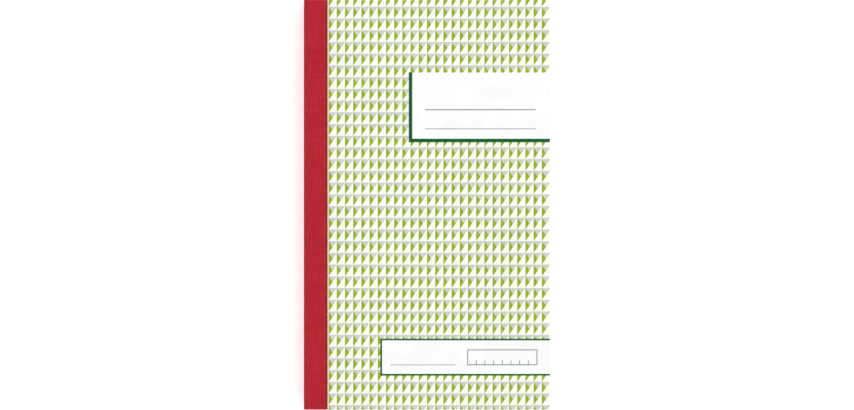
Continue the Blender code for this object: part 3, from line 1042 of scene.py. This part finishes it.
# ------------------------------------------------------------------ spine tape
def spine_tape():
    thick, r = 0.25, TAPE_R
    corner_a = (SPINE_X + r, TAPE_HIGH - r)
    corner_b = (SPINE_X + r, TAPE_LOW + r)
    arc = math.pi / 2 * r

    def section(s):
        """Point and outward normal of the outer face at arc length s."""
        if s <= TAPE_WING:
            return (TAPE_EDGE_X - s, TAPE_HIGH), (0.0, 1.0)
        s -= TAPE_WING
        if s <= arc:
            a = math.pi / 2 + s / r
            d = (math.cos(a), math.sin(a))
            return (corner_a[0] + r * d[0], corner_a[1] + r * d[1]), d
        s -= arc
        if s <= TAPE_WEB:
            return (SPINE_X, corner_a[1] - s), (-1.0, 0.0)
        s -= TAPE_WEB
        if s <= arc:
            a = math.pi + s / r
            d = (math.cos(a), math.sin(a))
            return (corner_b[0] + r * d[0], corner_b[1] + r * d[1]), d
        s -= arc
        return (corner_b[0] + s, TAPE_LOW), (0.0, -1.0)

    # lines on the threads and between them; the glued side needs fewer
    ni, nj = 2 * THREADS_S + 1, 2 * THREADS_Y + 1
    ss, ys = np.linspace(0.0, TAPE_FLAT, ni), np.linspace(-HALF_H, HALF_H, nj)
    js = [*range(0, nj - 1, 6), nj - 1]
    soft = random.Random(77)
    fray = {k: [0.05 * soft.random() - 0.02 for _ in range(n)] for k, n in (("a", nj), ("b", nj), ("tail", ni), ("head", ni))}
    places = [section(s) for s in ss]

    def relief(i, j, s, y, d):
        # a thread's back, the dip beside it and the hole at a crossing's corner
        h = (-0.032, -0.004, 0.022)[i % 2 + j % 2] + 0.005 * (soft.random() - 0.5)
        if d[1] > 0.99:  # the stitch shows faintly through
            x = TAPE_EDGE_X - s
            across = math.exp(-(((x - STITCH_X) / 0.55) ** 2))
            along = 1.0 / (1.0 + math.exp((abs(abs(y) - STITCH_Y) - 6.1) / 0.25))
            h += 0.05 * across * along
        return h

    verts, weave = [], []
    for side, across in ((0, range(nj)), (1, js)):
        for i, (s, ((px, pz), d)) in enumerate(zip(ss, places)):
            for j in across:
                y = ys[j]
                out = relief(i, j, s, y, d) if side == 0 else -thick
                if side == 0 and (i in (0, ni - 1) or j in (0, nj - 1)):
                    out = -0.07
                x, z, yy = px + d[0] * out, pz + d[1] * out, y
                if i == 0:
                    x -= fray["a"][j]
                if i == ni - 1:
                    x -= fray["b"][j]
                if j == 0:
                    yy += 0.02 + fray["tail"][i]
                if j == nj - 1:
                    yy -= 0.02 + fray["head"][i]
                verts.append((x, yy, z))
                weave.append((s, y + HALF_H, -thick * side))
    weave = np.array(weave)
    index = np.arange(ni * nj).reshape(ni, nj)
    under = ni * nj + np.arange(ni * len(js)).reshape(ni, len(js))

    def quads(grid):
        return tuple(q.ravel() for q in (grid[:-1, :-1], grid[1:, :-1], grid[1:, 1:], grid[:-1, 1:]))

    a, b, c, d = quads(index)
    outer = np.stack([a, d, c, b], 1)
    length = np.tile(np.arange(nj - 1) * 4 // (nj - 1), ni - 1)  # which of four lengths a face is in
    starts = np.array([weave[index[0, np.argmax(np.arange(nj - 1) * 4 // (nj - 1) == k)], 1] for k in range(4)])
    s_share, t = weave[outer][..., 0] / TAPE_FLAT, weave[outer][..., 1]
    outer_map = np.stack(
        [
            (length % 2 * 0.378)[:, None] + 0.004 + 0.366 * s_share,
            (length // 2 * 0.5)[:, None] + 0.006 + 0.486 * (t - starts[length][:, None]) / (BOOK_H / 4 + WEAVE),
        ],
        -1,
    )
    inner = np.stack(quads(under), 1)
    inner_map = np.stack([0.765 + 0.19 * weave[inner][..., 0] / TAPE_FLAT, 0.006 + 0.98 * weave[inner][..., 1] / BOOK_H], -1)
    faces = [tuple(f) for f in outer] + [tuple(f) for f in inner]
    slots = [0] * len(outer) + [1] * len(inner)
    maps = [*outer_map.reshape(-1, 2), *inner_map.reshape(-1, 2)]

    def rim(face, row, along, size):
        faces.append(tuple(face))
        slots.append(1)
        maps.extend((0.962 + 0.009 * row + 0.006 * (k < ni * nj), 0.006 + 0.98 * weave[k, along] / size) for k in face)

    for k, (j0, j1) in enumerate(zip(js, js[1:])):
        rim([*index[0, j0 : j1 + 1][::-1], under[0, k], under[0, k + 1]], 0, 1, BOOK_H)
        rim([*index[-1, j0 : j1 + 1], under[-1, k + 1], under[-1, k]], 1, 1, BOOK_H)
    for i in range(ni - 1):
        rim([index[i, 0], index[i + 1, 0], under[i + 1, 0], under[i, 0]], 2, 0, TAPE_FLAT)
        rim([index[i + 1, -1], index[i, -1], under[i, -1], under[i + 1, -1]], 3, 0, TAPE_FLAT)
    o = make_piece(
        "spine_tape_cloth",
        [(np.array(verts), faces, slots, maps)],
        [CLOTH, CLOTH_CUT],
        smooth=50.0,
    )
    own = o.data.attributes.new("weave", "FLOAT_VECTOR", "POINT")
    own.data.foreach_set("vector", weave.astype(np.float32).ravel())
    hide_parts("spine_tape")
    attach(o, "bound_pad")


spine_tape()

# ------------------------------------------------------------------ CAD pieces that show as they are
for node, material in (
    ("head_staple", WIRE),
    ("tail_staple", WIRE),
    ("spine_glue_film", GLUE),
    ("back_cover_binding_strip", BOARD_RIGID),
):
    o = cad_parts[node]
    o.data.materials.clear()
    o.data.materials.append(material)

# ------------------------------------------------------------------ floor, light, camera
def floor():
    n = Net("studio_floor")
    at = n.place()
    tone = n.noise(at, 0.004, 2.0, 0.5)
    n.set("Base Color", n.mix(tone, (0.930, 0.930, 0.928), (0.940, 0.940, 0.938)))
    n.set("Roughness", 0.9)
    n.set("Specular IOR Level", 0.1)
    # a light table, so the floor's own shadows stay faint and its far part meets the walls
    x, y, _ = n.xyz(at)
    far = n.math("SQRT", n.math("ADD", n.math("MULTIPLY", x, x), n.math("MULTIPLY", y, y)))
    n.set("Emission Color", (1.0, 1.0, 1.0))
    n.set("Emission Strength", n.span(far, 350.0, 1800.0, 0.25, 0.62, smooth=True))
    # level under the book, up to 2.5 mm short of the spine; from there it dips by
    # up to 5 mm, which leaves room for the back cover when that is folded round

    def step(v, a, b):
        t = np.clip((v - a) / (b - a), 0.0, 1.0)
        return t * t * (3.0 - 2.0 * t)

    lip = SPINE_X + 2.5
    past = [0.0, 0.15, *np.linspace(12.0, 96.0, 8), *np.linspace(130.0, 600.0, 12)]
    xs = np.array([-15000.0, *[lip - d for d in past[::-1]], 300.0, 15000.0])
    aside = [96.0, *np.linspace(140.0, 500.0, 10), 15000.0]
    ys = np.array([*[-v for v in aside[::-1]], 0.0, *aside])
    gx, gy = np.meshgrid(xs, ys, indexing="ij")
    d = lip - gx
    dip = np.where(d > 0.0, np.minimum(1.32 + 0.037 * d, 5.0), 0.0)
    dip *= (1.0 - step(d, 96.0, 600.0)) * (1.0 - step(np.abs(gy), 96.0, 500.0))
    index = np.arange(gx.size).reshape(gx.shape)
    quads = [index[:-1, :-1], index[1:, :-1], index[1:, 1:], index[:-1, 1:]]
    mesh = bpy.data.meshes.new("floor")
    mesh.from_pydata(
        [tuple(p) for p in np.stack([gx, gy, -dip], -1).reshape(-1, 3) * MM],
        [],
        [tuple(int(k) for k in q) for q in np.stack([q.ravel() for q in quads], 1)],
    )
    mesh.shade_smooth()
    mesh.set_sharp_from_angle(angle=math.radians(20))
    mesh.materials.append(n.material)
    o = bpy.data.objects.new("floor", mesh)
    o.location.z = -0.00002
    scene.collection.objects.link(o)
    o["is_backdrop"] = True


floor()


def softbox(name, at, size, power, look=(0.0, 0.0, 0.005)):
    light = bpy.data.lights.new(name, "AREA")
    light.shape = "RECTANGLE"
    light.size, light.size_y = size
    light.energy = power
    o = bpy.data.objects.new(name, light)
    o.location = at
    o.rotation_euler = (Vector(look) - Vector(at)).to_track_quat("-Z", "Y").to_euler()
    scene.collection.objects.link(o)


softbox("key", (0.75, 0.65, 1.80), (1.1, 1.1), 11.3)
softbox("left", (-0.95, 0.35, 1.75), (1.2, 1.2), 10.3)
softbox("front", (0.10, -1.10, 1.70), (1.4, 1.0), 8.3)


def tent():
    """A white light tent round the object: white walls that meet the floor, a
    softer roof, and a dim opening at the top."""
    world = bpy.data.worlds.new("light_tent")
    scene.world = world
    world.use_nodes = True
    tree = world.node_tree
    way = tree.nodes.new("ShaderNodeTexCoord")
    split = tree.nodes.new("ShaderNodeSeparateXYZ")
    tree.links.new(way.outputs["Generated"], split.inputs[0])
    bands = []
    for a, b, low, high in ((0.86, 0.97, 0.0, -0.54), (0.16, 0.50, 1.02, 0.59)):
        level = tree.nodes.new("ShaderNodeMapRange")
        level.interpolation_type = "SMOOTHSTEP"
        for socket, value in zip(level.inputs[1:5], (a, b, low, high)):
            socket.default_value = value
        tree.links.new(split.outputs["Z"], level.inputs[0])
        bands.append(level.outputs[0])
    total = tree.nodes.new("ShaderNodeMath")
    for band, socket in zip(bands, total.inputs):
        tree.links.new(band, socket)
    background = tree.nodes["Background"]
    background.inputs["Color"].default_value = (1.0, 1.0, 1.0, 1.0)
    tree.links.new(total.outputs[0], background.inputs["Strength"])


tent()

scene.view_settings.view_transform = "Standard"
scene.view_settings.look = "None"
scene.view_settings.exposure = 0.0
scene.view_settings.gamma = 1.0

PX = 0.42674  # millimetres in one pixel of the 854 x 410 frame
LENS = 135.0
camera_data = bpy.data.cameras.new("camera")
camera_data.lens = LENS
camera_data.sensor_width = 36.0
camera_data.clip_start, camera_data.clip_end = 0.05, 20.0
camera = bpy.data.objects.new("camera", camera_data)
distance = 854 * PX * LENS / 36.0
camera.location = (
    0.10 * PX * MM,
    -0.38 * PX * MM,
    (panel_high[2] + distance) * MM,
)
scene.collection.objects.link(camera)
scene.camera = camera

bpy.context.view_layer.update()
low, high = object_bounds()
